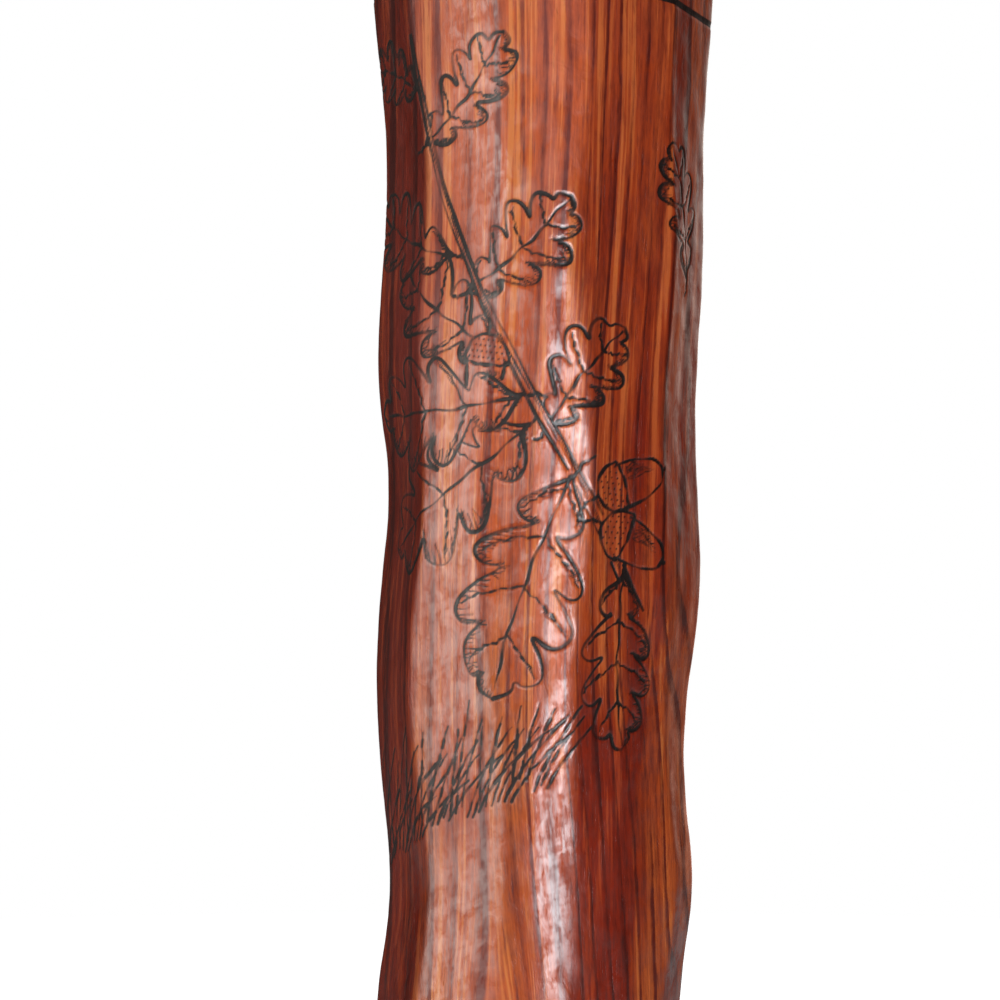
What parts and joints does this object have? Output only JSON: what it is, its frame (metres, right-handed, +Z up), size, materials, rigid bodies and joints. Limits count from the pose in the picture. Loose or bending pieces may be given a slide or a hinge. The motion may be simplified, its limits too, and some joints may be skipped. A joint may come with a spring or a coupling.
{
  "type": "walking stick",
  "caption": "Stout knife-carved wooden walking stick with a knob handle, a brass collar, a brass ferrule and a pull-off rubber foot.",
  "frame": {"origin": "middle of the rubber foot's tread, on the ground", "axes": "+Z up along the stick, -Y towards the face that carries the burned drawings, +X to the right of that face"},
  "size_m": [0.0502, 0.0503, 0.9246],
  "materials": {
    "stained_wood": "red-brown stain under gloss varnish",
    "brass": "hand polished",
    "steel": "zinc plated",
    "black_horn": "polished",
    "foot_rubber": "moulded, dull"
  },
  "bodies": {
    "stick": {"ferrule": "brass", "tip_plate": "steel", "tip_screw": "steel", "ferrule_pin_right": "brass", "ferrule_pin_left": "brass", "shaft": "stained_wood", "lower_spacer": "black_horn", "collar": "brass", "upper_spacer": "black_horn", "hanger_bolt": "steel", "handle_knob": "stained_wood", "bolt_washer": "steel", "handle_nut": "steel", "crown_button": "brass"},
    "foot": {"rubber_foot": "foot_rubber", "foot_washer": "steel"}
  },
  "joints": [
    {"name": "foot_pull_off", "type": "slide", "parent": "stick", "child": "foot", "axis": [0, 0, -1], "range_m": [0, 0.03]}
  ]
}
